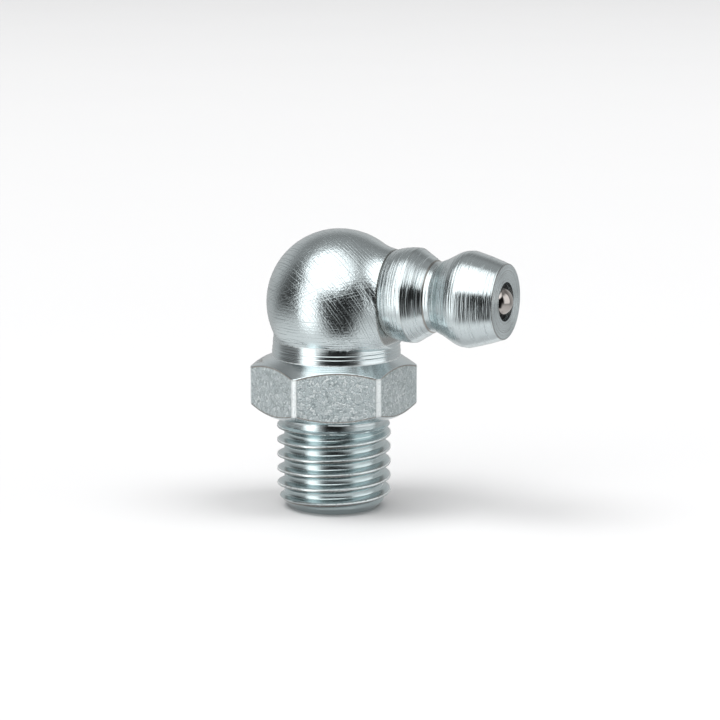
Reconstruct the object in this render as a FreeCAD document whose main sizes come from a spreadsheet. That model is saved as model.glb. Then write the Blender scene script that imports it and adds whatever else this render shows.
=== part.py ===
import FreeCAD, Part
import math
import os
import re
import Sketcher

# Angled grease fitting, 90 degrees, with an M8 x 1 stem, a 10 mm hexagon and a 6.5 mm coupling head.
# The origin is on the thread's axis, in the plane of the hexagon's underside. +Z runs up the stem
# and +X out along the head. Lengths are in millimetres and angles in degrees.

SIZES = {
    # stem, below the hexagon
    "ThreadDiameter": 7.88,
    "StemLength": 6.6,
    "StemTipDiameter": 5.96,
    "StemTipAngle": 45,
    "RunoutDiameter": 7.44,
    "RunoutLength": 0.7,
    "UnderHeadFlare": 0.25,
    # hexagon
    "AcrossFlats": 10,
    "HexHeight": 3.92,
    "HexTurn": -2.2,
    "HexEdgeRadius": 0.45,
    "HexChamferAngle": 30,
    "UnderFaceDiameter": 9.48,
    # neck between the hexagon and the ball
    "NeckOffset": 0.13,
    "NeckLowDiameter": 8.8,
    "NeckTopDiameter": 8.66,
    "NeckTop": 5.1,
    "NeckShoulderDiameter": 8.4,
    "NeckShoulder": 5.45,
    # ball of the elbow, which sits a little towards the head
    "GlobeRadius": 4.99,
    "GlobeOffset": 0.46,
    "GlobeHeight": 7.63,
    # head's axis, and the boss on the ball that the head is pressed into
    "ArmHeight": 8.47,
    "BossFace": 4.55,
    "BossLipDiameter": 5.96,
    "BossRootDiameter": 7.1,
    "BossLength": 1.6,
    "SpotFaceDiameter": 7.6,
    # grease channels in the elbow
    "ChannelDiameter": 2.8,
    "ChannelChamfer": 0.3,
    "SocketDiameter": 5,
    "SocketBottom": 0.9,
    "DrillPointAngle": 118,
    # coupling head: spigot, collar and groove
    "SpigotStart": 1.9,
    "SpigotChamfer": 0.25,
    "CollarStartDiameter": 5.9,
    "RidgeDiameter": 6.4,
    "RidgePlace": 6.35,
    "CollarCurve": 4.4,
    "GrooveStart": 7.65,
    "GrooveEnd": 8.0,
    "GrooveDiameter": 4.75,
    # coupling head: flare, widest band and nose
    "FlareEnd": 9.2,
    "FlareEndDiameter": 5.9,
    "FlareCurve": 1.9,
    "HeadDiameter": 6.5,
    "HeadBandStart": 9.9,
    "HeadBandEnd": 10.4,
    "TaperCurve": 20,
    "NoseDiameter": 5.04,
    "NoseFace": 12.65,
    # mouth, seat and bore of the valve
    "MouthDiameter": 2.58,
    "MouthDepth": 0.27,
    "LipDiameter": 1.973,
    "LipDepth": 0.32,
    "SeatAngle": 24,
    "ValveBoreDiameter": 2.3,
    "RimDiameter": 1.3,
    "RimLength": 0.35,
    # valve ball and its spring
    "BallDiameter": 2,
    "BallGap": 0.015,
    "WireDiameter": 0.26,
    "SpringDiameter": 2,
    "SpringCoils": 5,
    "SpringGap": 0.02,
}

doc = FreeCAD.newDocument("AngledGreaseFitting")

sheet = doc.addObject("Spreadsheet::Sheet", "Sizes")
for row, (alias, number) in enumerate(SIZES.items(), start=1):
    sheet.set(f"A{row}", alias)
    sheet.set(f"B{row}", str(number))
    sheet.setAlias(f"B{row}", alias)
doc.recompute()


def in_sheet(formula):
    """The formula with each size's name pointing at the sheet."""
    return re.sub(r"\b([A-Z][A-Za-z]+)\b", r"Sizes.\1", formula)


def value(formula):
    """What the formula gives with the sheet's present sizes."""
    return float(sheet.evalExpression(formula))


def new_body(label):
    body = doc.addObject("PartDesign::Body", label)
    body.Label = label
    return body


def new_sketch(body, name, role, shift_x="0", shift_y="0"):
    """Sketch on one of the body's own origin planes, shifted within that plane."""
    sketch = body.newObject("Sketcher::SketchObject", name)
    plane = next(item for item in body.Origin.OriginFeatures if item.Role == role)
    sketch.AttachmentSupport = [(plane, "")]
    sketch.MapMode = "FlatFace"
    sketch.setExpression("AttachmentOffset.Base.x", in_sheet(shift_x))
    sketch.setExpression("AttachmentOffset.Base.y", in_sheet(shift_y))
    doc.recompute()
    return sketch


def arc_between(start, end, radius, side):
    """Arc from start to end. Side 1 bulges to the left of the way from start to end, -1 to the right."""
    chord = end - start
    half = chord.Length / 2
    rise = radius - math.sqrt(radius**2 - half**2)
    left = FreeCAD.Vector(-chord.y, chord.x, 0).normalize()
    return Part.Arc(start, (start + end) / 2 + left * side * rise, end)


def draw_outline(sketch, corners, arcs=None):
    """Closed outline through corners, each a pair of formulas. An arc is given by the number of
    the corner that it starts from, with the formula of its radius and its side."""
    arcs = arcs or {}
    places = [FreeCAD.Vector(value(x), value(y), 0) for x, y in corners]
    edges = []
    for number, start in enumerate(places):
        end = places[(number + 1) % len(places)]
        if number in arcs:
            radius, side = arcs[number]
            edges.append(sketch.addGeometry(arc_between(start, end, value(radius), side), False))
        else:
            edges.append(sketch.addGeometry(Part.LineSegment(start, end), False))

    def end_at(edge, place):
        return min((1, 2), key=lambda end: (sketch.getPoint(edge, end) - place).Length)

    for number, (edge, place) in enumerate(zip(edges, places)):
        before = edges[number - 1]
        joint = (before, end_at(before, place), edge, end_at(edge, place))
        sketch.addConstraint(Sketcher.Constraint("Coincident", *joint))
        for kind, formula in zip(("DistanceX", "DistanceY"), corners[number]):
            pin = Sketcher.Constraint(kind, -1, 1, edge, end_at(edge, place), value(formula))
            sketch.setExpression(f"Constraints[{sketch.addConstraint(pin)}]", in_sheet(formula))
        if number in arcs:
            radius = arcs[number][0]
            bend = Sketcher.Constraint("Radius", edge, value(radius))
            sketch.setExpression(f"Constraints[{sketch.addConstraint(bend)}]", in_sheet(radius))


def turn(body, name, kind, corners, arcs=None, axis="V_Axis", shift_x="0", shift_y="0"):
    """Turned feature: an outline in the XZ plane swept round the sketch's own axis."""
    sketch = new_sketch(body, f"{name}Outline", "XZ_Plane", shift_x, shift_y)
    draw_outline(sketch, corners, arcs)
    feature = body.newObject(f"PartDesign::{kind}", name)
    feature.Profile = sketch
    feature.ReferenceAxis = (sketch, [axis])
    feature.Angle = 360
    doc.recompute()
    return feature


def turn_on_arm(body, name, kind, corners, arcs=None):
    """Turned feature on the head's axis. Its outline is (distance along +X, radius)."""
    return turn(body, name, kind, corners, arcs, "H_Axis", shift_y="ArmHeight")


# Elbow body: hexagon
elbow = new_body("elbow_body")
hex_sketch = new_sketch(elbow, "HexOutline", "XY_Plane")
corner_angles = [f"HexTurn + {30 + 60 * corner}" for corner in range(6)]
hex_corners = [
    (f"AcrossFlats / sqrt(3) * cos({angle})", f"AcrossFlats / sqrt(3) * sin({angle})")
    for angle in corner_angles
]
draw_outline(hex_sketch, hex_corners)
hexagon = elbow.newObject("PartDesign::Pad", "Hexagon")
hexagon.Profile = hex_sketch
hexagon.setExpression("Length", in_sheet("HexHeight"))
doc.recompute()

# Rounded upright edges, and the turned chamfers above and below
hex_edges = elbow.newObject("PartDesign::Fillet", "HexEdges")
upright = [
    f"Edge{number}"
    for number, edge in enumerate(hexagon.Shape.Edges, start=1)
    if edge.BoundBox.ZLength > value("HexHeight") / 2
]
hex_edges.Base = (hexagon, upright)
hex_edges.setExpression("Radius", in_sheet("HexEdgeRadius"))
doc.recompute()

turn(elbow, "UpperHexChamfer", "Groove", [
    ("NeckLowDiameter / 2", "HexHeight"),
    ("AcrossFlats", "HexHeight"),
    ("AcrossFlats", "HexHeight - (AcrossFlats - NeckLowDiameter / 2) * tan(HexChamferAngle)"),
])
turn(elbow, "LowerHexChamfer", "Groove", [
    ("UnderFaceDiameter / 2", "0"),
    ("AcrossFlats", "0"),
    ("AcrossFlats", "(AcrossFlats - UnderFaceDiameter / 2) * tan(HexChamferAngle)"),
])

# Stem with its thread at full diameter, flared where it meets the hexagon
turn(elbow, "Stem", "Revolution", [
    ("0", "-StemLength"),
    ("StemTipDiameter / 2", "-StemLength"),
    ("ThreadDiameter / 2",
     "-StemLength + (ThreadDiameter - StemTipDiameter) / 2 / tan(StemTipAngle)"),
    ("ThreadDiameter / 2", "-RunoutLength - (ThreadDiameter - RunoutDiameter) / 2"),
    ("RunoutDiameter / 2", "-RunoutLength"),
    ("RunoutDiameter / 2", "-UnderHeadFlare"),
    ("RunoutDiameter / 2 + UnderHeadFlare", "0"),
    ("0", "0"),
])

# Neck, which stands a little towards the head and reaches up into the ball
turn(elbow, "Neck", "Revolution", [
    ("0", "HexHeight / 2"),
    ("NeckLowDiameter / 2", "HexHeight / 2"),
    ("NeckLowDiameter / 2", "HexHeight"),
    ("NeckTopDiameter / 2", "NeckTop"),
    ("NeckShoulderDiameter / 2", "NeckShoulder"),
    ("0", "NeckShoulder"),
], shift_x="NeckOffset")

# Ball, cut off flat where the neck starts
turn(elbow, "Globe", "Revolution", [
    ("0", "NeckTop"),
    ("sqrt(GlobeRadius ^ 2 - (GlobeHeight - NeckTop) ^ 2)", "NeckTop"),
    ("0", "GlobeHeight + GlobeRadius"),
], {1: ("GlobeRadius", -1)}, shift_x="GlobeOffset")

# Boss, and the spot face that trims the ball round it
turn_on_arm(elbow, "Boss", "Revolution", [
    ("BossFace - BossLength", "0"),
    ("BossFace - BossLength", "BossRootDiameter / 2"),
    ("BossFace", "BossLipDiameter / 2"),
    ("BossFace", "0"),
])
turn_on_arm(elbow, "SpotFace", "Groove", [
    ("BossFace", "0"),
    ("BossFace", "SpotFaceDiameter / 2"),
    ("GlobeOffset + GlobeRadius", "SpotFaceDiameter / 2"),
    ("GlobeOffset + GlobeRadius", "0"),
])

# Drilled socket for the head, and the channel up the stem that meets it
turn_on_arm(elbow, "Socket", "Groove", [
    ("SocketBottom - SocketDiameter / 2 / tan(DrillPointAngle / 2)", "0"),
    ("SocketBottom", "SocketDiameter / 2"),
    ("BossFace", "SocketDiameter / 2"),
    ("BossFace", "0"),
])
turn(elbow, "Channel", "Groove", [
    ("0", "-StemLength"),
    ("ChannelDiameter / 2 + ChannelChamfer", "-StemLength"),
    ("ChannelDiameter / 2", "-StemLength + ChannelChamfer"),
    ("ChannelDiameter / 2", "ArmHeight"),
    ("0", "ArmHeight"),
])

# Coupling head, turned outside
head = new_body("coupling_head")
turn_on_arm(head, "HeadOutside", "Revolution", [
    ("SpigotStart", "0"),
    ("SpigotStart", "SocketDiameter / 2 - SpigotChamfer"),
    ("SpigotStart + SpigotChamfer", "SocketDiameter / 2"),
    ("BossFace", "SocketDiameter / 2"),
    ("BossFace", "CollarStartDiameter / 2"),
    ("RidgePlace", "RidgeDiameter / 2"),
    ("GrooveStart", "GrooveDiameter / 2"),
    ("GrooveEnd", "GrooveDiameter / 2"),
    ("FlareEnd", "FlareEndDiameter / 2"),
    ("HeadBandStart", "HeadDiameter / 2"),
    ("HeadBandEnd", "HeadDiameter / 2"),
    ("NoseFace", "NoseDiameter / 2"),
    ("NoseFace", "0"),
], {4: ("CollarCurve", 1), 8: ("FlareCurve", 1), 10: ("TaperCurve", 1)})

# Bore of the head, from the staked rim that holds the spring to the seat, lip and mouth
LIP_PLACE = "NoseFace - LipDepth"
turn_on_arm(head, "ValveBore", "Groove", [
    ("SpigotStart", "0"),
    ("SpigotStart", "RimDiameter / 2"),
    ("SpigotStart + RimLength", "RimDiameter / 2"),
    ("SpigotStart + RimLength", "ValveBoreDiameter / 2"),
    (f"{LIP_PLACE} - (ValveBoreDiameter - LipDiameter) / 2 / tan(SeatAngle / 2)",
     "ValveBoreDiameter / 2"),
    (LIP_PLACE, "LipDiameter / 2"),
    ("NoseFace - MouthDepth", "MouthDiameter / 2"),
    ("NoseFace", "MouthDiameter / 2"),
    ("NoseFace", "0"),
])

# Valve ball, just clear of the seat's cone
BALL_REACH = (
    f"({LIP_PLACE} - ((BallDiameter / 2 + BallGap) / cos(SeatAngle / 2) - LipDiameter / 2)"
    " / tan(SeatAngle / 2))"
)
ball = doc.addObject("Part::Sphere", "check_ball")
ball.Label = "check_ball"
ball.setExpression("Radius", in_sheet("BallDiameter / 2"))
ball.setExpression("Placement.Base.x", in_sheet(BALL_REACH))
ball.setExpression("Placement.Base.z", in_sheet("ArmHeight"))
doc.recompute()


def spring_path(first, last, radius, wire, coils, steps):
    """Points of a coil along X. One coil at each end lies closed, and the coils between share the rest."""
    closed = wire * 1.08
    turns = coils + 2
    open_pitch = (last - first - 2 * closed) / coils
    points = []
    for step in range(turns * steps + 1):
        turned = step / steps
        reach = closed * min(turned, 1) + open_pitch * min(max(turned - 1, 0), coils)
        reach += closed * max(turned - 1 - coils, 0)
        angle = 2 * math.pi * turned
        points.append(FreeCAD.Vector(first + reach, radius * math.cos(angle), radius * math.sin(angle)))
    return points


# Spring between the staked rim and the ball, wound from five-sided wire
WIRE_SIDES = 5
STEPS_PER_COIL = 8
wire_radius = value("WireDiameter / 2")
coil_radius = value("(SpringDiameter - WireDiameter) / 2")
touch = value("BallDiameter / 2 + WireDiameter / 2 + SpringGap")
spring_start = value("SpigotStart + RimLength + WireDiameter / 2 + SpringGap")
spring_end = value(BALL_REACH) - math.sqrt(touch**2 - coil_radius**2)
path_points = spring_path(
    spring_start, spring_end, coil_radius, 2 * wire_radius, round(value("SpringCoils")), STEPS_PER_COIL
)
path = Part.BSplineCurve()
path.interpolate(path_points)
section = Part.makePolygon([
    FreeCAD.Vector(
        wire_radius * math.sin(2 * math.pi * side / WIRE_SIDES),
        wire_radius * math.cos(2 * math.pi * side / WIRE_SIDES),
        0,
    )
    for side in range(WIRE_SIDES + 1)
])
section.Placement = FreeCAD.Placement(
    path_points[0], FreeCAD.Rotation(FreeCAD.Vector(0, 0, 1), path.tangent(path.FirstParameter)[0])
)
spring = doc.addObject("Part::Feature", "check_spring")
spring.Label = "check_spring"
spring.Shape = Part.Wire([path.toShape()]).makePipeShell([section], True, True)
spring.Placement.Base = FreeCAD.Vector(0, 0, value("ArmHeight"))
doc.recompute()

# Every object is sound before anything is written
for item in doc.Objects:
    if "Invalid" in item.State or "Error" in item.State:
        raise RuntimeError(f"{item.Name} failed: {item.State}")

pieces = [elbow, head, ball, spring]
for piece in pieces:
    if piece.Shape.isNull() or not piece.Shape.isValid():
        raise RuntimeError(f"{piece.Label} has no valid shape")

os.makedirs("parts", exist_ok=True)
for piece in pieces:
    piece.Shape.exportStep(f"parts/{piece.Label}.step")
    print(piece.Label, round(piece.Shape.Volume, 3), len(piece.Shape.Solids))
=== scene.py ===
import math

import bmesh
import bpy
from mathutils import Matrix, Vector


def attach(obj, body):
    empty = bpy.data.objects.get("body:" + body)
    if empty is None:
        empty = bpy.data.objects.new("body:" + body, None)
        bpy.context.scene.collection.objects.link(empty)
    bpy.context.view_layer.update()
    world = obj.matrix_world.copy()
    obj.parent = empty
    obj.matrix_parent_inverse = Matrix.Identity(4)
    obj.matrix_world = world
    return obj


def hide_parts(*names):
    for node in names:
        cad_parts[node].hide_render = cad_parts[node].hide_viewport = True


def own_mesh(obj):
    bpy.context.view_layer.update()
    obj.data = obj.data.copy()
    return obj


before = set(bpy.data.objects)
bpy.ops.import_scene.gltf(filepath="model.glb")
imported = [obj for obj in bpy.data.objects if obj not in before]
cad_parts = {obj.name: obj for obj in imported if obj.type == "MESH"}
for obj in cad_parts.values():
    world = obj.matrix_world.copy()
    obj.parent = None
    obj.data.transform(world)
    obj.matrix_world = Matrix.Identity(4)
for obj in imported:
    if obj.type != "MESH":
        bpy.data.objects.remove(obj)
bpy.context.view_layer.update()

# Lengths in millimetres, in the part's own frame: thread axis up, head along +X
MM = 0.001

# Stem: outer radius, thread form, end chamfer, run-out under the hexagon and the channel up the middle
THREAD_RADIUS = 3.91
PITCH = 1.0
THREAD_FLANK = math.radians(25)
CREST_FLAT = PITCH / 8
CREST_ROUND = 0.03
ROOT_FLAT = 0.42 * PITCH
ROOT_ROUND = 0.3
ROOT_DIP = 0.01
CREST_HEIGHT = -1.967
CREST_ANGLE = math.radians(205.3)
STEM_END = -6.6
TIP_RADIUS = 2.98
TIP_EDGE = 0.04
RUNOUT_RADIUS = 3.72
RUNOUT_END = -0.7
THREAD_FADE = (-1.3, -0.72)
CHANNEL_RADIUS = 1.4
CHANNEL_CHAMFER = 0.3

# Hexagon, with cones above and below, and the neck on it, which stands a little towards the head
FLATS = 10.0
HEX_TURN = math.radians(-2.2)
HEX_SIDE = math.pi / 3
HEX_EDGE = 0.45
HEX_TOP = 3.92
HEX_SLOPE = math.tan(math.radians(30))
CONE_ROUND = 0.07
UNDER_FACE = 4.74
UNDER_ROUND = 0.08
UNDER_FLARE = 0.25
NECK_SHIFT = 0.2
NECK_LOW = 4.40
NECK_FILLET = 0.03
NECK_HIGH = 4.33
NECK_TOP = 5.1
NECK_EDGE = (0.08, 0.02)
NECK_CAP_RISE = 0.1
NECK_CAP_FLAT = 3.4
# Fine rings on the neck: height, then the radius below, on and above the ring
NECK_RINGS = ((4.30, 4.385, 4.415, 4.375), (4.56, 4.365, 4.39, 4.355))
RING_HALF = 0.04
RING_ROUND = 0.02

# Ball of the elbow, and the boss on it with the socket for the head
GLOBE = 4.99
GLOBE_X = 0.46
GLOBE_Z = 7.63
GLOBE_FOOT = 4.6
FOOT_REACH = 0.8
FOOT_SLOPE = 0.5
FOOT_GAP = 0.02
ARM_Z = 8.47
BOSS_FACE = 4.55
BOSS_LIP = 2.98
BOSS_SLOPE = 0.22
BOSS_BLEND = 0.32
BOSS_BACK = 1.5
BOSS_EDGE = 0.05
SOCKET = 2.5
SOCKET_BOTTOM = 0.9
SOCKET_CHAMFER = 0.06
DRILL_POINT = math.tan(math.radians(59))

# Coupling head from the spigot to the nose
SPIGOT_START = 1.9
SPIGOT_CHAMFER = 0.25
COLLAR_START = 2.93
COLLAR_RISE = 0.095
RIDGE = (6.35, 3.2)
TOOL_STEP = ((7.16, 2.70), (7.18, 2.655))
GROOVE_LIP = ((7.60, 2.44), (7.66, 2.375))
GROOVE_END = (8.0, 2.375)
GROOVE_RISE = ((8.38, 2.54), (8.42, 2.54))
FLARE_START = (9.2, 2.95)
FLARE_RISE = 0.05
BAND = ((10.0, 3.24), (10.25, 3.245))
TAPER_RISE = 0.04
NOSE_FACE = 12.65
NOSE_RADIUS = 2.52

# Valve: mouth, lip, seat and bore in the head, its staked rear rim, the ball and the spring
MOUTH = 1.29
MOUTH_DEPTH = 0.27
LIP_PLACE = 12.33
LIP_RADIUS = 0.9865
SEAT_HALF = math.radians(12)
VALVE_BORE = 1.15
RIM_LENGTH = 0.35
RIM_RADIUS = 0.65
BALL = 1.0
BALL_GAP = 0.015
BALL_TRAVEL = 0.8
WIRE = 0.13
COIL = 0.87
SPRING_COILS = 5
SPRING_GAP = 0.02
CLOSED_COIL = 2 * WIRE * 1.08

# How fine the meshes are: columns round, rows along, and the longest step on an outline
STEM_COLUMNS = 228
CORNER_COLUMNS = 8
CORNER_STEP = math.radians(0.36)
CLOSEST_COLUMNS = math.radians(0.15)
THREAD_STEP = 0.12
GLOBE_COLUMNS = 216
GLOBE_ROWS = 84
CHANNEL_COLUMNS = 96
HEAD_COLUMNS = 320
HEAD_STEP = 0.25
BALL_CUTS = 23
WIRE_COLUMNS = 14
COIL_STEPS = 40
SHARP_ANGLE = 35
HEAD_SHARP_ANGLE = 28
MERGE = 0.0004
SLIVER = 0.0002
# A rounding takes up no more than this share of the sides next to it
ROUND_LIMIT = 0.49
# How far a cutting tool starts outside the metal
TOOL_LEAD = 1


# Mesh building

def blend_up(low, high, x):
    """0 below low, 1 above high, smooth between."""
    t = min(max((x - low) / (high - low), 0.0), 1.0)
    return t * t * (3 - 2 * t)


def soften(corners, steps=5):
    """Outline through (a, b, rounding) corners, with each corner rounded by an arc of its own size."""
    outline = []
    for before, (a, b, rounding), after in zip([None] + corners[:-1], corners, corners[1:] + [None]):
        here = Vector((a, b))
        if rounding <= 0 or before is None or after is None:
            outline.append((a, b))
            continue
        back = Vector(before[:2]) - here
        ahead = Vector(after[:2]) - here
        half = back.angle(ahead) / 2
        reach = min(rounding / math.tan(half), ROUND_LIMIT * back.length, ROUND_LIMIT * ahead.length)
        start = here + back.normalized() * reach
        end = here + ahead.normalized() * reach
        centre = here + (back.normalized() + ahead.normalized()).normalized() * reach / math.cos(half)
        for step in range(steps + 1):
            share = step / steps
            arm = (start - centre).lerp(end - centre, share)
            point = centre + arm.normalized() * (start - centre).length
            outline.append((point.x, point.y))
    return outline


def close_up(spots, limit):
    """Outline with points added so that no step is longer than the limit."""
    filled = [spots[0]]
    for spot in spots[1:]:
        last = filled[-1]
        count = max(1, math.ceil(math.dist(last, spot) / limit))
        for step in range(1, count + 1):
            share = step / count
            filled.append(tuple(p + (q - p) * share for p, q in zip(last, spot)))
    return filled


def add_grid(mesh, rows):
    """Quads between rows of points of equal length. Points are in millimetres."""
    laid = [[mesh.verts.new(Vector(point) * MM) for point in row] for row in rows]
    for low, high in zip(laid, laid[1:]):
        for number in range(len(low) - 1):
            mesh.faces.new((low[number], low[number + 1], high[number + 1], high[number]))


def finish_mesh(mesh, name, sharp=SHARP_ANGLE):
    """Object from a closed bmesh: doubles merged, normals outward, smooth but for sharp edges."""
    bmesh.ops.remove_doubles(mesh, verts=mesh.verts, dist=MERGE * MM)
    bmesh.ops.dissolve_degenerate(mesh, edges=mesh.edges, dist=SLIVER * MM)
    bmesh.ops.recalc_face_normals(mesh, faces=mesh.faces)
    data = bpy.data.meshes.new(name)
    mesh.to_mesh(data)
    mesh.free()
    piece = bpy.data.objects.new(name, data)
    bpy.context.scene.collection.objects.link(piece)
    data.shade_smooth()
    data.set_sharp_from_angle(angle=math.radians(sharp))
    return piece


def ring_angles(count):
    """Angles once round, with the first one again at the end."""
    return [2 * math.pi * number / count for number in range(count + 1)]


def turned_on_stem(mesh, outline, angles):
    """Surface of revolution about the thread's axis through (radius, height) points."""
    add_grid(mesh, [[(r * math.cos(a), r * math.sin(a), z) for a in angles] for r, z in outline])


def turned_on_arm(mesh, outline, angles):
    """Surface of revolution about the head's axis through (reach, radius) points."""
    rows = [[(x, r * math.sin(a), ARM_Z + r * math.cos(a)) for a in angles] for x, r in outline]
    add_grid(mesh, rows)


def cut(piece, tool, operation):
    """Boolean of two closed pieces. The tool is used up."""
    step = piece.modifiers.new("cut", "BOOLEAN")
    step.operation = operation
    step.solver = "EXACT"
    step.object = tool
    graph = bpy.context.evaluated_depsgraph_get()
    result = bpy.data.meshes.new_from_object(piece.evaluated_get(graph))
    piece.modifiers.clear()
    piece.data = result
    bpy.data.objects.remove(tool)


# Elbow body

def hex_radius(angle):
    """Distance from the axis to the rounded hexagon's side in one direction."""
    corner = HEX_SIDE / 2
    within = (angle - HEX_TURN + corner) % HEX_SIDE - corner
    flat = FLATS / 2 / math.cos(within)
    # The rounding's centre lies on the corner's own direction
    centre = (FLATS / 2 - HEX_EDGE) / math.cos(corner)
    off = corner - abs(within)
    rounded = centre * math.cos(off) + math.sqrt(max(HEX_EDGE**2 - (centre * math.sin(off)) ** 2, 0))
    touch = FLATS / 2 * math.tan(corner) - HEX_EDGE * math.tan(corner)
    return rounded if FLATS / 2 * math.tan(abs(within)) > touch else flat


def stem_angles():
    """Columns round the stem, closer together at the hexagon's corners."""
    digits = 9
    found = {round(angle, digits) for angle in ring_angles(STEM_COLUMNS)}
    for corner in range(6):
        middle = HEX_TURN + HEX_SIDE / 2 + corner * HEX_SIDE
        for step in range(-CORNER_COLUMNS, CORNER_COLUMNS + 1):
            found.add(round((middle + CORNER_STEP * step) % (2 * math.pi), digits))
    ordered = sorted(found)
    spaced = [ordered[0]]
    for angle in ordered[1:]:
        if angle - spaced[-1] > CLOSEST_COLUMNS:
            spaced.append(angle)
    spaced[-1] = 2 * math.pi
    return spaced


def thread_profile():
    """One pitch of the thread from crest to crest, as (height, depth), with a wide round root."""
    flank_end = PITCH / 2 - ROOT_FLAT / 2
    straight = (flank_end - CREST_FLAT / 2) / math.tan(THREAD_FLANK)
    half = soften([
        (0, 0, 0),
        (CREST_FLAT / 2, 0, CREST_ROUND),
        (flank_end, straight, ROOT_ROUND),
        (PITCH / 2, straight + ROOT_DIP, 0),
    ])
    half = close_up(half, THREAD_STEP)
    return half + [(PITCH - z, depth) for z, depth in reversed(half[1:-1])]


def stem_envelope(z):
    """Largest radius of the threaded stem at one height: end chamfer and run-out."""
    body = min(
        THREAD_RADIUS,
        TIP_RADIUS + (z - STEM_END),
        RUNOUT_RADIUS + max(RUNOUT_END - z, 0.0),
    )
    return max(body, RUNOUT_RADIUS + UNDER_FLARE + z)


def threaded_rows(angles):
    """Rows along the helix. What would lie past the stem's end or the hexagon is pressed flat there."""
    profile = thread_profile()
    turns = math.ceil(-STEM_END / PITCH) + 3
    rows = []
    for turn in range(-2, turns):
        for rise, depth in profile:
            row = []
            for angle in angles:
                z = STEM_END - 1 + turn * PITCH + rise + PITCH * (angle - CREST_ANGLE) / (2 * math.pi)
                z += (CREST_HEIGHT - STEM_END + 1) % PITCH
                z = min(max(z, STEM_END + TIP_EDGE), 0.0)
                fade = 1 - blend_up(*THREAD_FADE, z)
                r = max(THREAD_RADIUS - depth * fade, RUNOUT_RADIUS + UNDER_FLARE + z)
                r = min(stem_envelope(z), r)
                row.append((r * math.cos(angle), r * math.sin(angle), z))
            rows.append(row)
    return rows


def hexagon_rows(angles):
    """Rows up the hexagon, from the under face over both chamfers to the neck."""
    rings = []
    for height, below, on, above in NECK_RINGS:
        rings += [(below, height - RING_HALF, 0), (on, height, RING_ROUND), (above, height + RING_HALF, 0)]
    columns = []
    for angle in angles:
        side = hex_radius(angle)
        low = (side - UNDER_FACE) * HEX_SLOPE
        high = HEX_TOP - (side - NECK_LOW) * HEX_SLOPE
        outline = soften([
            (RUNOUT_RADIUS + UNDER_FLARE, 0.0, 0),
            (UNDER_FACE, 0.0, UNDER_ROUND),
            (side, low, CONE_ROUND),
            (side, high, CONE_ROUND),
            (NECK_LOW, HEX_TOP, NECK_FILLET),
            *rings,
            (NECK_HIGH, NECK_TOP, 0),
        ], steps=3)
        columns.append([
            (r * math.cos(angle) + NECK_SHIFT * blend_up(HEX_TOP - 0.1, HEX_TOP, z), r * math.sin(angle), z)
            for r, z in outline
        ])
    return list(zip(*columns))


def build_stem():
    """Closed surface of the thread, hexagon and neck, all with the same columns."""
    angles = stem_angles()
    mesh = bmesh.new()
    turned_on_stem(mesh, [
        (0, STEM_END),
        (TIP_RADIUS - TIP_EDGE, STEM_END),
        (TIP_RADIUS + TIP_EDGE, STEM_END + TIP_EDGE),
    ], angles)
    add_grid(mesh, threaded_rows(angles))
    add_grid(mesh, hexagon_rows(angles))
    neck_cap = [
        (NECK_HIGH, NECK_TOP),
        (NECK_HIGH - NECK_EDGE[0], NECK_TOP + NECK_EDGE[1]),
        (NECK_CAP_FLAT, NECK_TOP + NECK_CAP_RISE),
        (0, NECK_TOP + NECK_CAP_RISE),
    ]
    add_grid(mesh, [
        [(r * math.cos(a) + NECK_SHIFT, r * math.sin(a), z) for a in angles] for r, z in neck_cap
    ])
    return finish_mesh(mesh, "elbow_forging")


def globe_column(angle):
    """One half-plane of the ball and boss about the head's axis, as (reach, radius) points."""
    drop = -(ARM_Z - GLOBE_Z) * math.cos(angle)
    aside = (ARM_Z - GLOBE_Z) * math.sin(angle)
    room = GLOBE**2 - aside**2

    def ball_distance(t):
        return drop * math.sin(t) + math.sqrt(max(drop**2 * math.sin(t) ** 2 - drop**2 + room, 0))

    face = BOSS_FACE - GLOBE_X

    def boss_distance(t):
        lean = math.sin(t) + BOSS_SLOPE * math.cos(t)
        return (BOSS_LIP + BOSS_SLOPE * face) / lean if lean > 0.05 else 0

    outer = max(BOSS_LIP, drop + math.sqrt(max(room - face**2, 0)))
    first = math.atan2(outer, face)
    points = []
    for row in range(GLOBE_ROWS + 1):
        # The rows lie closer together by the boss
        t = first + (math.pi - first) * (row / GLOBE_ROWS) ** 1.25
        far = ball_distance(t)
        boss = boss_distance(t)
        reach = boss * math.cos(t) + GLOBE_X
        if reach > BOSS_BACK:
            mix = max(BOSS_BLEND - abs(far - boss), 0) / BOSS_BLEND
            far = max(far, boss) + mix * mix * BOSS_BLEND / 4 * blend_up(first, first + 0.1, t)
        points.append((GLOBE_X + far * math.cos(t), far * math.sin(t)))
    lip = points[0]
    points[0] = (lip[0] - BOSS_EDGE * 0.3, lip[1])
    inside = [
        (SOCKET_BOTTOM - SOCKET / DRILL_POINT, 0.0),
        (SOCKET_BOTTOM, SOCKET),
        (BOSS_FACE - SOCKET_CHAMFER, SOCKET),
        (BOSS_FACE, SOCKET + SOCKET_CHAMFER),
        (BOSS_FACE, lip[1] - BOSS_EDGE),
        (BOSS_FACE - BOSS_EDGE * 0.1, lip[1] - BOSS_EDGE * 0.35),
    ]
    return inside + points


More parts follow.
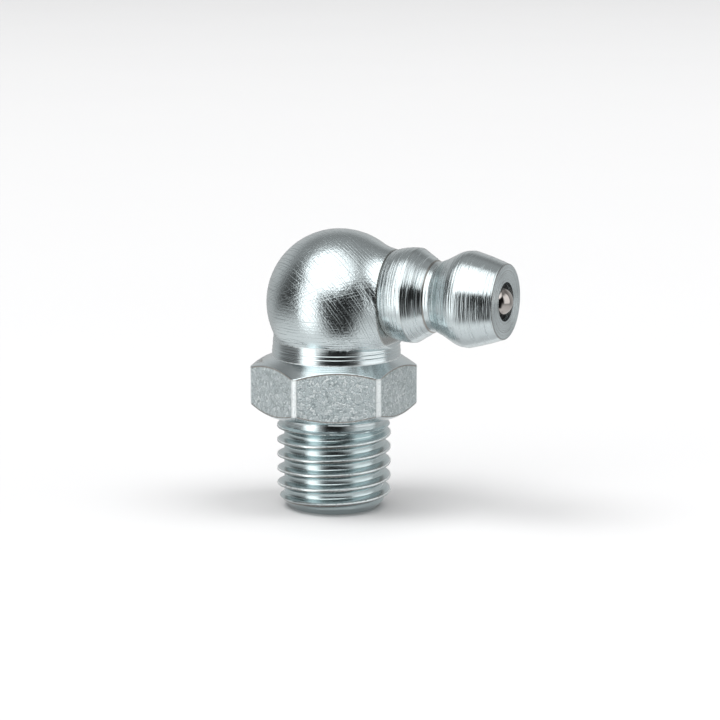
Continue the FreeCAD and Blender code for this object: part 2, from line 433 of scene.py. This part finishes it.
def build_globe():
    angles = ring_angles(GLOBE_COLUMNS)
    foot_top = NECK_TOP + FOOT_REACH
    rows = []
    for places in zip(*[globe_column(angle) for angle in angles]):
        row = []
        for (x, r), angle in zip(places, angles):
            y = r * math.sin(angle)
            z = ARM_Z + r * math.cos(angle)
            # The ball's foot spreads out to the neck's edge where it would stop short of it
            out = math.hypot(x - NECK_SHIFT, y)
            edge = NECK_HIGH - FOOT_GAP - FOOT_SLOPE * max(NECK_TOP - z, 0)
            if GLOBE_FOOT < z < foot_top and out < edge and r > SOCKET + 0.5:
                spread = 1 + (edge / out - 1) * (1 - blend_up(NECK_TOP, foot_top, z))
                x = NECK_SHIFT + (x - NECK_SHIFT) * spread
                y *= spread
            row.append((x, y, max(z, GLOBE_FOOT)))
        rows.append(row)
    mesh = bmesh.new()
    add_grid(mesh, rows)
    return finish_mesh(mesh, "elbow_globe")


def build_elbow():
    """Stem and ball joined, with the channel drilled up to the socket."""
    stem = build_stem()
    cut(stem, build_globe(), "UNION")
    drill = bmesh.new()
    turned_on_stem(drill, [
        (0, STEM_END - TOOL_LEAD),
        (CHANNEL_RADIUS + CHANNEL_CHAMFER + TOOL_LEAD, STEM_END - TOOL_LEAD),
        (CHANNEL_RADIUS, STEM_END + CHANNEL_CHAMFER),
        (CHANNEL_RADIUS, ARM_Z),
        (0, ARM_Z),
    ], ring_angles(CHANNEL_COLUMNS))
    cut(stem, finish_mesh(drill, "drill"), "DIFFERENCE")
    stem.data.shade_smooth()
    stem.data.set_sharp_from_angle(angle=math.radians(SHARP_ANGLE))
    return stem


# Coupling head

def arc_points(start, end, rise, count):
    """Points of a shallow arc from start to end that rises to the outside, without its end."""
    (x0, r0), (x1, r1) = start, end
    points = []
    for step in range(count):
        share = step / count
        lift = 4 * rise * share * (1 - share)
        points.append((x0 + (x1 - x0) * share, r0 + (r1 - r0) * share + lift, 0))
    return points


def build_head():
    """Head turned from one outline: outside from the spigot to the nose, then back in through the valve."""
    collar = arc_points((BOSS_FACE, COLLAR_START), RIDGE, COLLAR_RISE, 8)
    flare = arc_points(FLARE_START, BAND[0], FLARE_RISE, 6)
    taper = arc_points(BAND[1], (NOSE_FACE, NOSE_RADIUS), TAPER_RISE, 10)
    seat_length = (VALVE_BORE - LIP_RADIUS) / math.tan(SEAT_HALF)
    corners = [
        (SPIGOT_START, RIM_RADIUS, 0),
        (SPIGOT_START, SOCKET - SPIGOT_CHAMFER, 0.04),
        (SPIGOT_START + SPIGOT_CHAMFER, SOCKET, 0.04),
        # The collar's own edge stands a hair off the boss, so that the seam shows
        (BOSS_FACE - 0.02, SOCKET, 0),
        (BOSS_FACE - 0.02, COLLAR_START - 0.05, 0),
        (BOSS_FACE + 0.03, COLLAR_START + 0.005, 0.02),
        *collar[1:],
        (*RIDGE, 0.05),
        (*TOOL_STEP[0], 0.015),
        (*TOOL_STEP[1], 0.015),
        (*GROOVE_LIP[0], 0.03),
        (*GROOVE_LIP[1], 0.03),
        (*GROOVE_END, 0.1),
        (*GROOVE_RISE[0], 0.02),
        (*GROOVE_RISE[1], 0.02),
        *flare,
        *taper,
        (NOSE_FACE, NOSE_RADIUS, 0.05),
        (NOSE_FACE, MOUTH, 0.03),
        (NOSE_FACE - MOUTH_DEPTH, MOUTH, 0.02),
        (LIP_PLACE, LIP_RADIUS, 0.01),
        (LIP_PLACE - seat_length, VALVE_BORE, 0),
        (SPIGOT_START + RIM_LENGTH, VALVE_BORE, 0),
        (SPIGOT_START + RIM_LENGTH, RIM_RADIUS, 0.03),
        (SPIGOT_START, RIM_RADIUS, 0),
    ]
    mesh = bmesh.new()
    turned_on_arm(mesh, close_up(soften(corners), HEAD_STEP), ring_angles(HEAD_COLUMNS))
    return finish_mesh(mesh, "coupling_head_turned", HEAD_SHARP_ANGLE)


# Valve

def ball_reach():
    """Place of the ball's middle at rest, where the seat's cone all but holds it."""
    return LIP_PLACE - ((BALL + BALL_GAP) / math.cos(SEAT_HALF) - LIP_RADIUS) / math.tan(SEAT_HALF)


def build_ball():
    """Ball from a cube's grid pushed out to the sphere, so that no pole shows."""
    mesh = bmesh.new()
    bmesh.ops.create_cube(mesh, size=2)
    bmesh.ops.subdivide_edges(mesh, edges=mesh.edges, cuts=BALL_CUTS, use_grid_fill=True)
    centre = Vector((ball_reach(), 0, ARM_Z))
    for vertex in mesh.verts:
        even = Vector([math.tan(c * math.pi / 4) for c in vertex.co])
        vertex.co = (centre + even.normalized() * BALL) * MM
    return finish_mesh(mesh, "check_ball_polished")


def build_spring():
    """Round wire wound from the staked rim to the ball, with a closed coil at each end."""
    start = SPIGOT_START + RIM_LENGTH + WIRE + SPRING_GAP
    end = ball_reach() - math.sqrt((BALL + WIRE + SPRING_GAP) ** 2 - COIL**2)
    open_pitch = (end - start - 2 * CLOSED_COIL) / SPRING_COILS
    turns = SPRING_COILS + 2
    steps = turns * COIL_STEPS
    rows = []
    for step in range(steps + 1):
        turned = turns * step / steps
        x = start + CLOSED_COIL * min(turned, 1) + open_pitch * min(max(turned - 1, 0), SPRING_COILS)
        x += CLOSED_COIL * max(turned - 1 - SPRING_COILS, 0)
        angle = 2 * math.pi * turned
        outward = Vector((0, math.cos(angle), math.sin(angle)))
        middle = Vector((x, 0, ARM_Z)) + outward * COIL
        rows.append([
            tuple(middle + outward * WIRE * math.cos(turn) + Vector((1, 0, 0)) * WIRE * math.sin(turn))
            for turn in ring_angles(WIRE_COLUMNS)
        ])
    # Each end closes in a point in the wire's middle
    first = Vector(rows[0][0]) - Vector((0, 1, 0)) * WIRE
    last = Vector(rows[-1][0]) - Vector((0, 1, 0)) * WIRE
    columns = WIRE_COLUMNS + 1
    rows = [[tuple(first)] * columns] + rows + [[tuple(last)] * columns]
    mesh = bmesh.new()
    add_grid(mesh, rows)
    return finish_mesh(mesh, "check_spring_wire")


# Finishes

class Signal:
    """Number that varies over a surface. Python's operators on it add Math nodes."""

    def __init__(self, finish, socket):
        self.finish = finish
        self.socket = socket

    def work(self, operation, other=0.0, turned=False):
        """A Math node on this number and another, or with the two turned round."""
        first, second = (other, self) if turned else (self, other)
        return self.finish.node("ShaderNodeMath", {"operation": operation}, {0: first, 1: second})

    def __add__(self, other):
        return self.work("ADD", other)

    __radd__ = __add__

    def __sub__(self, other):
        return self.work("SUBTRACT", other)

    def __rsub__(self, other):
        return self.work("SUBTRACT", other, turned=True)

    def __mul__(self, other):
        return self.work("MULTIPLY", other)

    __rmul__ = __mul__

    def __pow__(self, other):
        return self.work("POWER", other)

    def bigger(self, other):
        return self.work("MAXIMUM", other)

    def smaller(self, other):
        return self.work("MINIMUM", other)

    def size(self):
        return self.work("ABSOLUTE")

    def above(self, low, high):
        """0 below low and 1 above high, smooth between."""
        settings = {"interpolation_type": "SMOOTHSTEP"}
        return self.finish.node("ShaderNodeMapRange", settings, {0: self, 1: low, 2: high, 3: 0.0, 4: 1.0})

    def below(self, low, high):
        """1 below low and 0 above high, smooth between."""
        return 1 - self.above(low, high)

    def strip(self, low, low_full, high_full, high):
        """1 between the two middle values and 0 outside the outer ones, smooth between."""
        return self.above(low, low_full) * self.below(high_full, high)


class Finish:
    """Node material of one finish, or the sky when given its tree."""

    def __init__(self, name, tree=None):
        self.material = None
        if tree is None:
            self.material = bpy.data.materials.new(name)
            self.material.use_nodes = True
            tree = self.material.node_tree
        self.tree = tree
        tree.nodes.clear()

    def node(self, kind, settings=None, inputs=None, output=0):
        """Any node, with its settings and with values or signals for its inputs."""
        made = self.tree.nodes.new(kind)
        for key, setting in (settings or {}).items():
            setattr(made, key, setting)
        for key, given in (inputs or {}).items():
            socket = made.inputs[key]
            if isinstance(given, Signal):
                self.tree.links.new(given.socket, socket)
            else:
                socket.default_value = given
        return Signal(self, made.outputs[output]) if made.outputs else None

    def place(self):
        """Where the point lies on the object, in millimetres."""
        spot = self.node("ShaderNodeTexCoord", output="Object")
        return self.node("ShaderNodeVectorMath", {"operation": "SCALE"}, {0: spot, "Scale": 1 / MM})

    def split(self, vector):
        return [self.node("ShaderNodeSeparateXYZ", None, {0: vector}, output=axis) for axis in range(3)]

    def join(self, x, y, z):
        return self.node("ShaderNodeCombineXYZ", None, {0: x, 1: y, 2: z})

    def noise(self, vector, scale, detail=2.0, roughness=0.5):
        inputs = {"Vector": vector, "Scale": scale, "Detail": detail, "Roughness": roughness}
        return self.node("ShaderNodeTexNoise", None, inputs)

    def tint(self, share, first, second):
        """Colour between two colours."""
        inputs = {0: share, 6: first, 7: second}
        return self.node("ShaderNodeMix", {"data_type": "RGBA"}, inputs, output=2)

    def painted(self, colour, *layers):
        """Colour with layers on it, each one a share, how strong it is and its own colour."""
        for share, strength, layer in layers:
            colour = self.tint(share * strength, colour, layer)
        return colour

    def bump(self, height, depth_mm):
        return self.node("ShaderNodeBump", None, {"Strength": 1.0, "Distance": depth_mm * MM, "Height": height})

    def surface(self, **inputs):
        """The material itself, from inputs named as the shader's sockets with _ for a space."""
        named = {name.replace("_", " "): given for name, given in inputs.items()}
        shader = self.node("ShaderNodeBsdfPrincipled", None, named)
        self.node("ShaderNodeOutputMaterial", None, {0: shader})
        return self.material


def summed(start, *parts):
    """A number with signals added to it, each one by its own weight."""
    for signal, weight in parts:
        start = start + signal * weight
    return start


def along(x, y, z, axis):
    """How far a place lies along an axis through the origin."""
    return x * axis[0] + y * axis[1] + z * axis[2]


def drawn_noise(finish, spot, axis, fine, drift):
    """Noise drawn out into rings round an axis: fine along it and slow across it."""
    x, y, z = finish.split(spot)
    across = x * axis[2] - z * axis[0]
    drawn = finish.join(along(x, y, z, axis) * fine, across * drift, y * drift)
    return finish.noise(drawn, 1.0, 3.0, 0.6)


def scored(finish, spot, axis, per_mm, width_mm, wander, broken):
    """Thin scored lines round an axis, 1 in the middle of a line, a little uneven and broken."""
    x, y, z = finish.split(spot)
    lead = along(x, y, z, axis)
    across = x * axis[2] - z * axis[0]
    unevenly = finish.noise(finish.join(lead * 2.0, 0.0, 0.0), 1.0, 1.0) * 2.5
    sway = finish.noise(spot, 0.5, 1.0) * wander + unevenly
    phase = (lead * per_mm + sway).work("FRACT")
    line = 1 - ((phase - 0.5).size() * (2 / (width_mm * per_mm))).smaller(1.0)
    gaps = finish.noise(finish.join(lead * per_mm * 1.7, across * 0.7, y * 0.7), 1.0, 2.0)
    return line * gaps.above(broken - 0.08, broken + 0.12)


def curls(wave, level):
    """Fine curled lines of a pickled surface, 1 on a line, where the waves pass one level."""
    return 1 - ((wave - level).size() * 11.0).smaller(1.0)


LIGHT_ZINC = (0.64, 0.71, 0.725, 1)
TEAL_ZINC = (0.43, 0.54, 0.55, 1)
DULL_ZINC = (0.40, 0.45, 0.46, 1)
# Dark zinc of the pickled skin's curls, also used as painted shade on the stem's end
SKIN_AND_SHADE_ZINC = (0.2, 0.25, 0.262, 1)
# Bright zinc of the hexagon's worn corners, also used as painted highlight on the hexagon's curls, the neck's
# edges and the thread's crests
WORN_AND_HIGHLIGHT_ZINC = (0.88, 0.92, 0.92, 1)
# Brown of the hexagon's edges and the nose's rim, also used as painted shade under the crests, in the joint at
# the boss and in the head's creases
EDGE_BROWN_AND_SHADE = (0.22, 0.19, 0.16, 1)
# Near black, painted as the shade inside the head's mouth
MOUTH_SHADE_BLACK = (0.015, 0.015, 0.016, 1)
BALL_STEEL = ((0.50, 0.465, 0.44, 1), (0.40, 0.375, 0.36, 1))
WIRE_STEEL = ((0.5, 0.5, 0.5, 1), (0.3, 0.3, 0.3, 1))
FLOOR_GREY = ((0.54, 0.54, 0.543, 1), (0.55, 0.55, 0.553, 1))

# Axes that turning marks and scored lines run round
STEM_AXIS = (0, 0, 1)
HEAD_AXIS = (1, 0, 0)
SLANT_AXIS = (0.551, 0.636, 0.54)
SHALLOW_AXIS = (-0.35, 0.2, 0.92)

# Where one part of the elbow's finish gives way to the next: heights z, reaches x and radii
THREAD_TO_HEX = (-0.6, -0.4)
NECK_SPAN = (3.3, 3.5, 4.9, 5.1)
NECK_TO_BALL = (5.0, 5.3)
SIDES_FROM = (4.85, 4.95)
SIDES_HEIGHT = (0.0, 0.05, 3.95, 4.0)
CORNER_SOFT = (5.61, 5.67)
CORNER_WORN = (5.64, 5.675)
BALL_HIGH = (6.5, 8.5)
TOWARD_ARM = (6.0, 9.5)
SLANT_END = (6.9, 8.2)
SHALLOW_END = (9.9, 11.0)
ROUNDS_END = (10.6, 11.8)
VALLEY_TOP = (3.6, 3.85)
CREST_FROM = (3.84, 3.87)
FIRST_TURN = (-6.2, -5.8)
RUNOUT_SPAN = (-1.2, -0.6)
TIP_SPAN = (-6.3, -6.0)
# Shares of a pitch, from one crest's middle up to the next
CREST_LINE = (0.0, 0.03, 0.09, 0.13)
UNDER_CREST = (0.78, 0.86, 0.95, 0.98)

# The same for the head: places along its axis
TEAL_GROOVE = (8.22, 8.30, 8.70, 8.85)
GROOVE_CREASE = (7.55, 7.59, 7.66, 7.70)
RIDGE_CREASE = (6.31, 6.33, 6.37, 6.39)
MOUTH_FROM = (11.0, 11.2)
NOSE_RIM = (2.44, 2.5)


def zinc_elbow():
    """Zinc plate on the elbow: turned stem and neck, pickled hexagon and scored ball."""
    finish = Finish("zinc_elbow")
    spot = finish.place()
    x, y, z = finish.split(spot)
    radius = (x * x + y * y) ** 0.5

    # Where the surface lies. Each zone is 1 on its own part of the elbow
    thread_zone = z.below(*THREAD_TO_HEX)
    ball_zone = z.above(*NECK_TO_BALL)
    neck_zone = z.strip(*NECK_SPAN)
    over_cone = z + radius * HEX_SLOPE - (HEX_TOP + NECK_LOW * HEX_SLOPE)
    under_cone = z - radius * HEX_SLOPE + UNDER_FACE * HEX_SLOPE
    sides = radius.above(*SIDES_FROM) * over_cone.below(-0.06, -0.02) * under_cone.above(0.02, 0.06)
    sides = sides * (1 - radius.above(*CORNER_SOFT) * 0.7) * z.strip(*SIDES_HEIGHT)
    corners = radius.above(*CORNER_WORN) * over_cone.below(-0.06, 0.0) * under_cone.above(0.0, 0.06)
    rim = over_cone.above(-0.17, -0.07) + under_cone.below(0.06, 0.14)
    rim = (rim * sides).smaller(1.0)

    # Turning marks round the stem's axis, and scored lines that cross on the ball
    lathe = drawn_noise(finish, spot, STEM_AXIS, 10.0, 0.12)
    slant = scored(finish, spot, SLANT_AXIS, 4.8, 0.075, 0.7, 0.42)
    shallow = scored(finish, spot, SHALLOW_AXIS, 4.4, 0.065, 0.7, 0.5)
    rounds = scored(finish, spot, STEM_AXIS, 4.6, 0.075, 0.3, 0.48)
    # The lines fade out where they would close to rings
    slant = slant * along(x, y, z, SLANT_AXIS).below(*SLANT_END)
    shallow = shallow * along(x, y, z, SHALLOW_AXIS).below(*SHALLOW_END)
    rounds = rounds * z.below(*ROUNDS_END)
    toward_arm = (x * 0.6 + z).above(*TOWARD_ARM)
    lines = (slant * toward_arm).bigger(shallow * z.above(*BALL_HIGH) * 0.8)
    lines = lines.bigger(rounds * (1 - toward_arm * 0.7)) * ball_zone
    pitted = finish.noise(spot, 8.0, 2.0, 0.5)
    specks = pitted.above(0.56, 0.64) * ball_zone

    # Pickled skin of the hexagon's sides
    waves = finish.noise(spot, 3.3, 1.0, 0.5)
    ripples = finish.noise(spot, 5.5, 1.0, 0.5)
    skin = curls(waves, 0.48).bigger(curls(ripples, 0.5) * 0.6) * sides
    # The bright curls next to the dark ones are painted highlight, as if the raised skin caught the light
    glint = curls(waves, 0.57) * ripples.above(0.42, 0.55) * sides

    # Thread: a bright line painted on top of each crest as its highlight, and a dark one under it as painted
    # shadow with a brown edge tone, by how far up the pitch the point is
    climb = z - y.work("ARCTAN2", x) * (PITCH / (2 * math.pi))
    climb = ((climb + (CREST_ANGLE / (2 * math.pi) * PITCH - CREST_HEIGHT)) * (1 / PITCH)).work("FRACT")
    runout = z.above(*RUNOUT_SPAN)
    # Painted shade on the stem's end chamfer, which faces the floor under the part
    tip_shade = z.below(*TIP_SPAN)
    # Painted shade, tinted teal, in the thread's roots, on the first turn and in the run-out
    root_shade = thread_zone * radius.below(*VALLEY_TOP).bigger(z.below(*FIRST_TURN)).bigger(runout * 0.8)
    under_crest = climb.strip(*UNDER_CREST) * thread_zone * (1 - runout)
    crest = radius.above(*CREST_FROM) * climb.strip(*CREST_LINE) * thread_zone * (1 - tip_shade)
    crest = crest * pitted.above(0.25, 0.5)

    # Bright lines painted at the neck's top and foot as the highlight on their edges, and painted shade in the
    # seam at the head
    neck_edge_highlight = z.strip(NECK_TOP - 0.08, NECK_TOP - 0.04, NECK_TOP, NECK_TOP + 0.06)
    foot = z.strip(HEX_TOP - 0.01, HEX_TOP + 0.01, HEX_TOP + 0.05, HEX_TOP + 0.09)
    neck_edge_highlight = neck_edge_highlight.bigger(foot) * pitted.above(0.2, 0.6)
    # Painted shade in the joint where the ball's boss meets the head
    seam = x.above(BOSS_FACE - 0.06, BOSS_FACE - 0.02) * ball_zone

    plain = (1 - sides) * (1 - thread_zone * 0.8)
    grain = (lathe - 0.5) * (1 - ball_zone * 0.9) + (pitted - 0.5) * ball_zone - lines * 0.42
    height = grain * plain + (pitted - 0.5) * 2.0 * sides - skin * 2.4
    streak = (lathe - 0.5).size() * (1 - ball_zone * 0.7)
    shade = (streak * 0.5 + lines * 0.7) * plain + ((pitted - 0.5).size() * 1.5 + 0.34) * sides
    colour = finish.painted(
        finish.tint(shade.smaller(1.0), LIGHT_ZINC, DULL_ZINC),
        (skin, 0.72, SKIN_AND_SHADE_ZINC),
        (glint, 0.6, WORN_AND_HIGHLIGHT_ZINC),
        (corners * pitted.above(0.2, 0.5), 0.8, WORN_AND_HIGHLIGHT_ZINC),
        (root_shade, 0.5, TEAL_ZINC),
        (under_crest * pitted.above(0.2, 0.5), 0.9, EDGE_BROWN_AND_SHADE),
        (neck_edge_highlight, 0.7, WORN_AND_HIGHLIGHT_ZINC),
        (tip_shade, 0.2, SKIN_AND_SHADE_ZINC),
        (crest, 0.85, WORN_AND_HIGHLIGHT_ZINC),
        (rim, 0.85, EDGE_BROWN_AND_SHADE),
        (seam, 0.55, EDGE_BROWN_AND_SHADE),
    )
    roughness = summed(
        0.12, (streak, 0.12), (ball_zone, 0.07), (neck_zone, 0.06), (sides, 0.24), (thread_zone, 0.08),
        (lines, 0.25), (specks, 0.08), (root_shade, 0.04), (corners, 0.3), (crest, 0.15), (neck_edge_highlight, 0.35),
    )
    metallic = 1 - (sides * 0.45).bigger(corners * 0.5).bigger(crest * 0.3)
    return finish.surface(
        Base_Color=colour, Metallic=metallic, Roughness=roughness, Normal=finish.bump(height, 0.014),
    )


def zinc_head():
    """Zinc plate on the turned head, with painted shade inside its mouth."""
    finish = Finish("zinc_head")
    spot = finish.place()
    x, y, z = finish.split(spot)
    off = z - ARM_Z
    radius = (y * y + off * off) ** 0.5
    face = x.above(NOSE_FACE - 0.03, NOSE_FACE - 0.005)
    # Painted shade: the mouth's wall and the seat behind it are coloured near black
    mouth_shade = radius.below(MOUTH - 0.02, MOUTH + 0.02) * x.above(*MOUTH_FROM)
    lathe = drawn_noise(finish, spot, HEAD_AXIS, 10.0, 0.10)
    rings = finish.noise(finish.join(radius * 9.0, 0.0, 0.0), 1.0, 2.0, 0.6)
    lines = scored(finish, spot, HEAD_AXIS, 4.0, 0.09, 0.2, 0.5) * (1 - face)
    height = (lathe - 0.5) * (1 - face) + rings * face * 4.0 - lines * 0.25
    streak = (lathe - 0.5).size()
    ringed = rings.above(0.35, 0.65) * 0.7 * face
    # Dark thin lines painted as shade in the creases where the groove starts and on the collar's ridge
    crease_shade = x.strip(*GROOVE_CREASE).bigger(x.strip(*RIDGE_CREASE) * 0.4)
    # Painted shade in the joint at the boss, and a brown line round the rim of the nose face
    seam = x.below(BOSS_FACE + 0.06, BOSS_FACE + 0.14)
    seam = seam.bigger(x.above(NOSE_FACE - 0.08, NOSE_FACE - 0.03) * radius.above(*NOSE_RIM))
    colour = finish.painted(
        finish.tint((streak * 0.5 + lines * 0.35 + ringed).smaller(1.0), LIGHT_ZINC, DULL_ZINC),
        (x.strip(*TEAL_GROOVE), 0.5, TEAL_ZINC),
        (crease_shade, 0.7, EDGE_BROWN_AND_SHADE),
        (mouth_shade, 1.0, MOUTH_SHADE_BLACK),
        (seam, 0.35, EDGE_BROWN_AND_SHADE),
    )
    roughness = summed(0.15, (streak, 0.12), (face, 0.1), (lines, 0.35))
    return finish.surface(Base_Color=colour, Metallic=1.0, Roughness=roughness, Normal=finish.bump(height, 0.03))


def clouded_steel(name, colours, scale, detail, smooth, rough, depth_mm):
    """Steel whose colour, roughness and height follow one soft noise."""
    finish = Finish(name)
    cloud = finish.noise(finish.place(), scale, detail)
    return finish.surface(
        Base_Color=finish.tint(cloud, *colours), Metallic=1.0,
        Roughness=cloud * rough + smooth, Normal=finish.bump(cloud, depth_mm),
    )


def bearing_steel():
    return clouded_steel("bearing_steel", BALL_STEEL, 3.0, 2.0, 0.07, 0.05, 0.0005)


def spring_wire():
    return clouded_steel("spring_wire", WIRE_STEEL, 6.0, 3.0, 0.25, 0.2, 0.004)


def pale_floor():
    finish = Finish("pale_floor")
    cloud = finish.noise(finish.place(), 0.02, 2.0)
    return finish.surface(Base_Color=finish.tint(cloud, *FLOOR_GREY), Roughness=0.6)


# Put the pieces together

def dress(piece, body, node, material):
    """Give a piece its material and the body it rides on, and hide the solid it stands for."""
    piece.data.materials.clear()
    piece.data.materials.append(material)
    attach(piece, body)
    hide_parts(node)


dress(build_elbow(), "fitting", "elbow_body", zinc_elbow())
dress(build_head(), "fitting", "coupling_head", zinc_head())
dress(build_ball(), "valve", "check_ball", bearing_steel())
spring_piece = build_spring()
dress(spring_piece, "fitting", "check_spring", spring_wire())
spring_low = (SPIGOT_START + RIM_LENGTH) * MM
spring_length = (ball_reach() - BALL * 0.5) * MM - spring_low
1 - BALL_TRAVEL * MM / spring_length
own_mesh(spring_piece)


# Stage, light and camera. Bearings and heights of lights are in degrees, from the camera's side

CAMERA_TURN = math.radians(25.31)
CAMERA_RISE = math.radians(10.67)
CAMERA_AWAY = 178.17
CAMERA_AIM = Vector((1.621, 0.767, 3.547))
CAMERA_LENS = 130.19
EXPOSURE = 0.2

# Metres: half the floor's side, and the round piece of floor that the metal mirrors
FLOOR_HALF = 1.5
NEAR_RADIUS = 0.009
NEAR_STRETCH = 1.6
NEAR_SHIFT = 5 * MM
NEAR_DROP = 0.02 * MM
# Name, bearing, height and power in watts
LAMPS = (("lamp_right", 80, 64, 12.4), ("lamp_left", -75, 64, 11.8))
LAMP_SIZE = 0.84
LAMP_AWAY = 1.5


def add_stage(name, mesh):
    """Object of the stage from a bmesh."""
    data = bpy.data.meshes.new(name)
    mesh.to_mesh(data)
    mesh.free()
    piece = bpy.data.objects.new(name, data)
    bpy.context.scene.collection.objects.link(piece)
    piece.visible_shadow = False
    return piece


def build_floor():
    """Wide floor that the camera sees, and a small one that only the metal mirrors."""
    mesh = bmesh.new()
    bmesh.ops.create_grid(mesh, x_segments=8, y_segments=8, size=FLOOR_HALF)
    floor = add_stage("floor", mesh)
    floor.location = (0, 0, STEM_END * MM)
    floor.visible_glossy = False
    floor.data.materials.append(pale_floor())
    # What the metal mirrors of the floor close by, with the part's own shadow on it
    mesh = bmesh.new()
    bmesh.ops.create_circle(mesh, cap_ends=True, segments=64, radius=NEAR_RADIUS)
    near = add_stage("floor_near", mesh)
    near.location = (NEAR_SHIFT, 0, STEM_END * MM - NEAR_DROP)
    near.scale = (NEAR_STRETCH, 1, 1)
    near.visible_camera = False
    near.visible_diffuse = False
    near.data.materials.append(floor.data.materials[0])


def build_sky():
    """Soft boxes, dark gaps and pale table of a small studio, by bearing from the camera's side."""
    world = bpy.data.worlds.new("studio")
    bpy.context.scene.world = world
    world.use_nodes = True
    sky = Finish("studio", world.node_tree)
    spot = sky.node("ShaderNodeTexCoord", output="Generated")
    x, y, z = sky.split(spot)
    toward = x * math.sin(CAMERA_TURN) - y * math.cos(CAMERA_TURN)
    right = x * math.cos(CAMERA_TURN) + y * math.sin(CAMERA_TURN)
    bearing = right.work("ARCTAN2", toward) * math.degrees(1)
    height = z.work("ARCSINE") * math.degrees(1)

    def round_box(turned, raised, full, none):
        """Round soft light: full inside the first angle, nothing outside the second."""
        up = math.radians(raised)
        side = math.radians(turned)
        near = right * (math.sin(side) * math.cos(up)) + toward * (math.cos(side) * math.cos(up))
        near = near + z * math.sin(up)
        return near.above(math.cos(math.radians(none)), math.cos(math.radians(full)))

    left_box = bearing.strip(-71, -60, -44, -26) * height.above(-62, -14)
    top_box = round_box(-24, 60, 32, 42)
    white_box = left_box.bigger(top_box) * (1.8 - bearing.above(0, 50) * 0.8)
    right_box = bearing.strip(36, 52, 92, 104) * height.strip(-22, -4, 30, 62) * 1.2
    back_wall = (bearing + 8).size().above(90, 126) * height.strip(-44, -24, 20, 50) * 0.44
    overhead = height.above(30, 60) * 0.25
    dark_front = bearing.strip(-34, -14, 16, 38) * height.above(-58, -38)
    table = (0.8 - height.above(-58, -8) * 0.22) * height.below(-28, 4) * (1 - dark_front)
    light = white_box.bigger(right_box).bigger(overhead + back_wall).bigger(table)
    room = bearing.size().above(60, 90) * height.above(-5, 15) * 0.06 + 0.012
    glow = sky.node("ShaderNodeBackground", None, {"Color": (1, 1, 1, 1), "Strength": light + room})
    sky.node("ShaderNodeOutputWorld", None, {0: glow})


def seen_from(bearing, up):
    """Direction from the part to a place at a bearing and a height, both as angles in radians."""
    return Vector((math.sin(bearing) * math.cos(up), -math.cos(bearing) * math.cos(up), math.sin(up)))


def aim(piece, away):
    """Turn a lamp or camera back along the direction in which it stands."""
    piece.rotation_euler = away.to_track_quat("Z", "Y").to_euler()
    bpy.context.scene.collection.objects.link(piece)


def build_lamps():
    """Two soft lamps above the sides, which the metal does not mirror, for the shadows on the floor."""
    for name, turned, raised, power in LAMPS:
        data = bpy.data.lights.new(name, "AREA")
        data.shape = "DISK"
        data.size = LAMP_SIZE
        data.energy = power
        lamp = bpy.data.objects.new(name, data)
        away = seen_from(CAMERA_TURN + math.radians(turned), math.radians(raised))
        lamp.location = away * LAMP_AWAY
        lamp.visible_glossy = False
        lamp.visible_camera = False
        aim(lamp, away)


def build_camera():
    """Long lens at the photograph's place, found by a fit of the outline."""
    lens = bpy.data.cameras.new("camera")
    lens.lens = CAMERA_LENS
    lens.sensor_width = 36
    lens.clip_start = 0.01
    camera = bpy.data.objects.new("camera", lens)
    away = seen_from(CAMERA_TURN, CAMERA_RISE)
    camera.location = (CAMERA_AIM + away * CAMERA_AWAY) * MM
    aim(camera, away)
    bpy.context.scene.camera = camera


build_floor()
build_sky()
build_lamps()
build_camera()
bpy.context.scene.view_settings.view_transform = "Standard"
bpy.context.scene.view_settings.exposure = EXPOSURE
